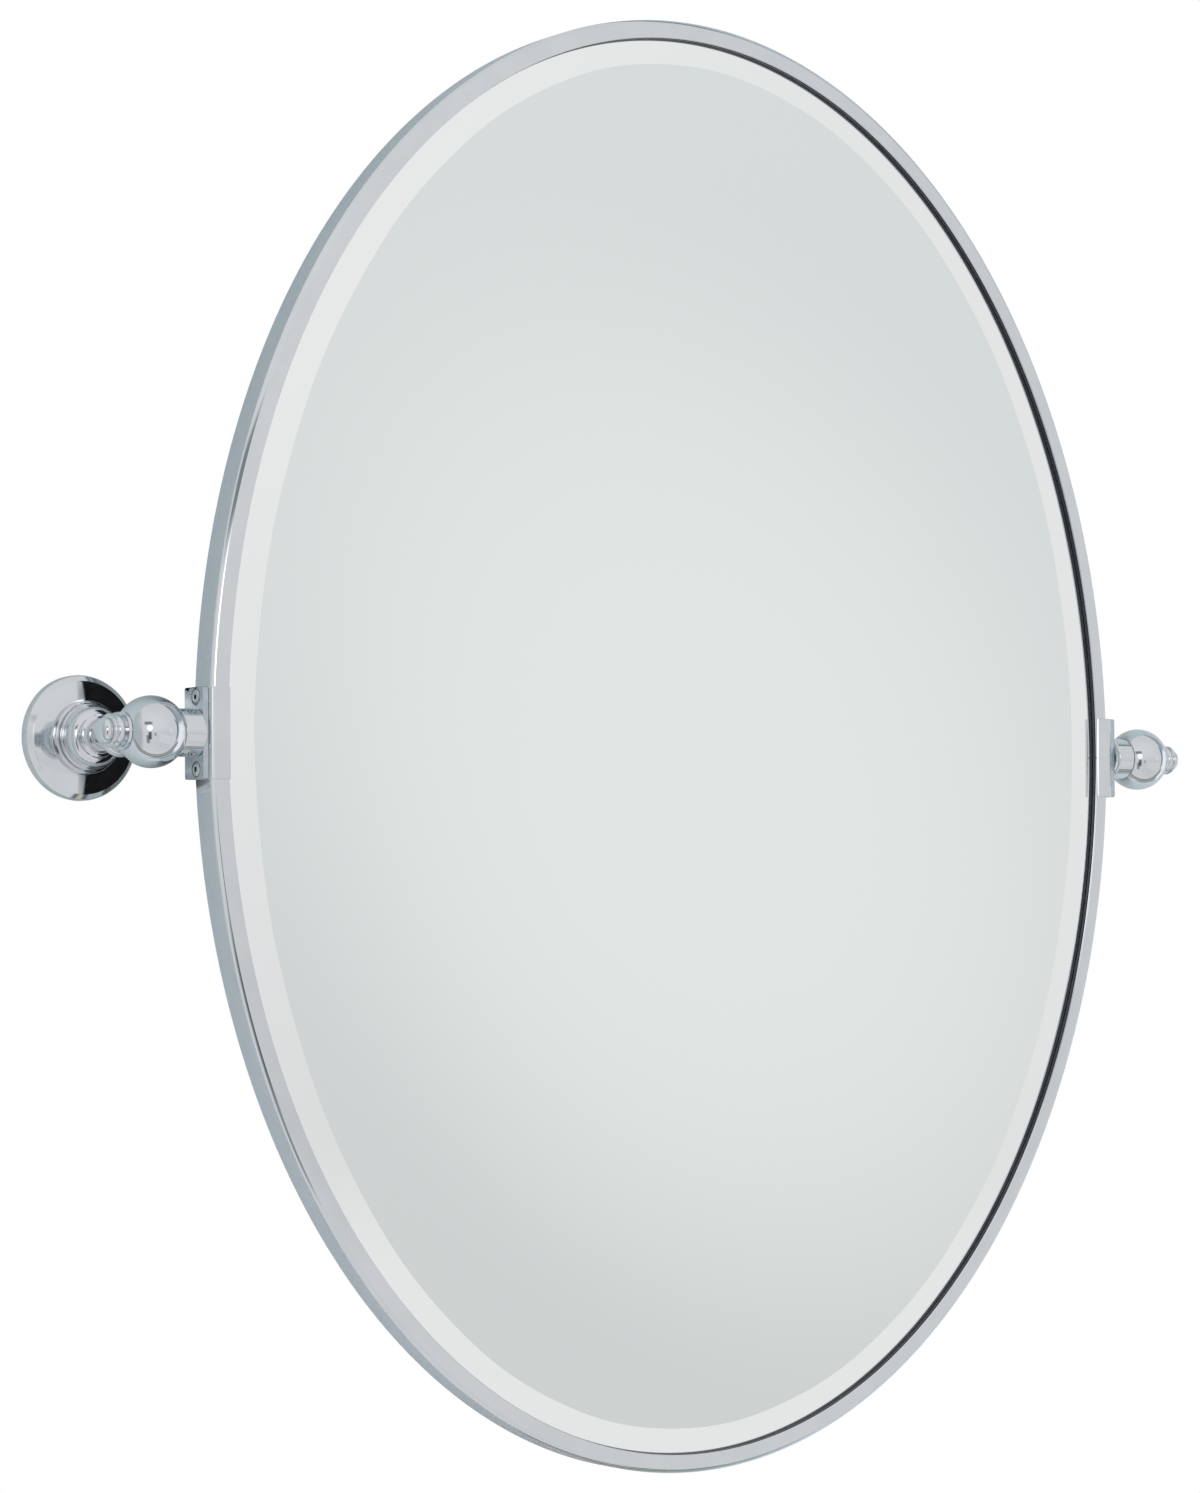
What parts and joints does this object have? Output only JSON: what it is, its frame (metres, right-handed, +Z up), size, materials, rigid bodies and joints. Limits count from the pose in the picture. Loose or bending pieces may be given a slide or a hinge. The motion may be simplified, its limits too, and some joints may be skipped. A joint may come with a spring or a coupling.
{
  "type": "pivot wall mirror",
  "caption": "Tall oval bevelled mirror in a chrome band frame, tilting on clamped pivots between two turned ball-ended wall arms with round flanges.",
  "frame": {"origin": "on the wall plane, midway between the two flanges, level with the pivot", "axes": "+X along the pivot to the right seen from the room, +Y into the wall, +Z up"},
  "size_m": [0.734, 0.094, 0.788],
  "materials": {
    "chrome_frame": "polished",
    "chrome_turned": "polished",
    "chrome_clamp": "polished",
    "chrome_screw": "polished",
    "mirror_silver": "silvered, with a ground and polished bevel",
    "foam": "matte closed-cell foam",
    "block_rubber": "matte",
    "hardboard": "pressed board, sealed black",
    "zinc_steel": "zinc plated",
    "steel_screw": "plain",
    "nylon": "natural"
  },
  "bodies": {
    "wall_brackets": {"left_ball": "chrome_turned", "left_arm": "chrome_turned", "left_base_collar": "chrome_turned", "left_flange": "chrome_turned", "left_wall_plate": "zinc_steel", "left_arm_stud": "steel_screw", "left_arm_nut": "zinc_steel", "left_set_screw": "steel_screw", "right_ball": "chrome_turned", "right_arm": "chrome_turned", "right_base_collar": "chrome_turned", "right_flange": "chrome_turned", "right_wall_plate": "zinc_steel", "right_arm_stud": "steel_screw", "right_arm_nut": "zinc_steel", "right_set_screw": "steel_screw"},
    "mirror": {"frame_ring": "chrome_frame", "mirror_glass": "mirror_silver", "glazing_strip": "block_rubber", "foam_pad": "foam", "backing_board": "hardboard", "retaining_tabs": "zinc_steel", "setting_blocks": "block_rubber", "left_clamp_plate": "chrome_clamp", "left_lip_strap": "chrome_clamp", "left_nut_plate": "zinc_steel", "left_clamp_screws": "chrome_screw", "left_barrel": "chrome_turned", "left_pivot_stud": "steel_screw", "left_friction_washer": "nylon", "right_clamp_plate": "chrome_clamp", "right_lip_strap": "chrome_clamp", "right_nut_plate": "zinc_steel", "right_clamp_screws": "chrome_screw", "right_barrel": "chrome_turned", "right_pivot_stud": "steel_screw", "right_friction_washer": "nylon"},
    "left_tension_nut": {"left_finial": "chrome_turned"},
    "right_tension_nut": {"right_finial": "chrome_turned"}
  },
  "joints": [
    {"name": "mirror_tilt", "type": "hinge", "parent": "wall_brackets", "child": "mirror", "pos_m": [0, -0.076, 0], "axis": [1, 0, 0], "range_deg": [-9, 9]},
    {"name": "left_finial_turn", "type": "hinge", "parent": "mirror", "child": "left_tension_nut", "pos_m": [-0.335, -0.076, 0], "axis": [1, 0, 0], "range_deg": [-360, 0]},
    {"name": "right_finial_turn", "type": "hinge", "parent": "mirror", "child": "right_tension_nut", "pos_m": [0.335, -0.076, 0], "axis": [1, 0, 0], "range_deg": [0, 360]}
  ]
}
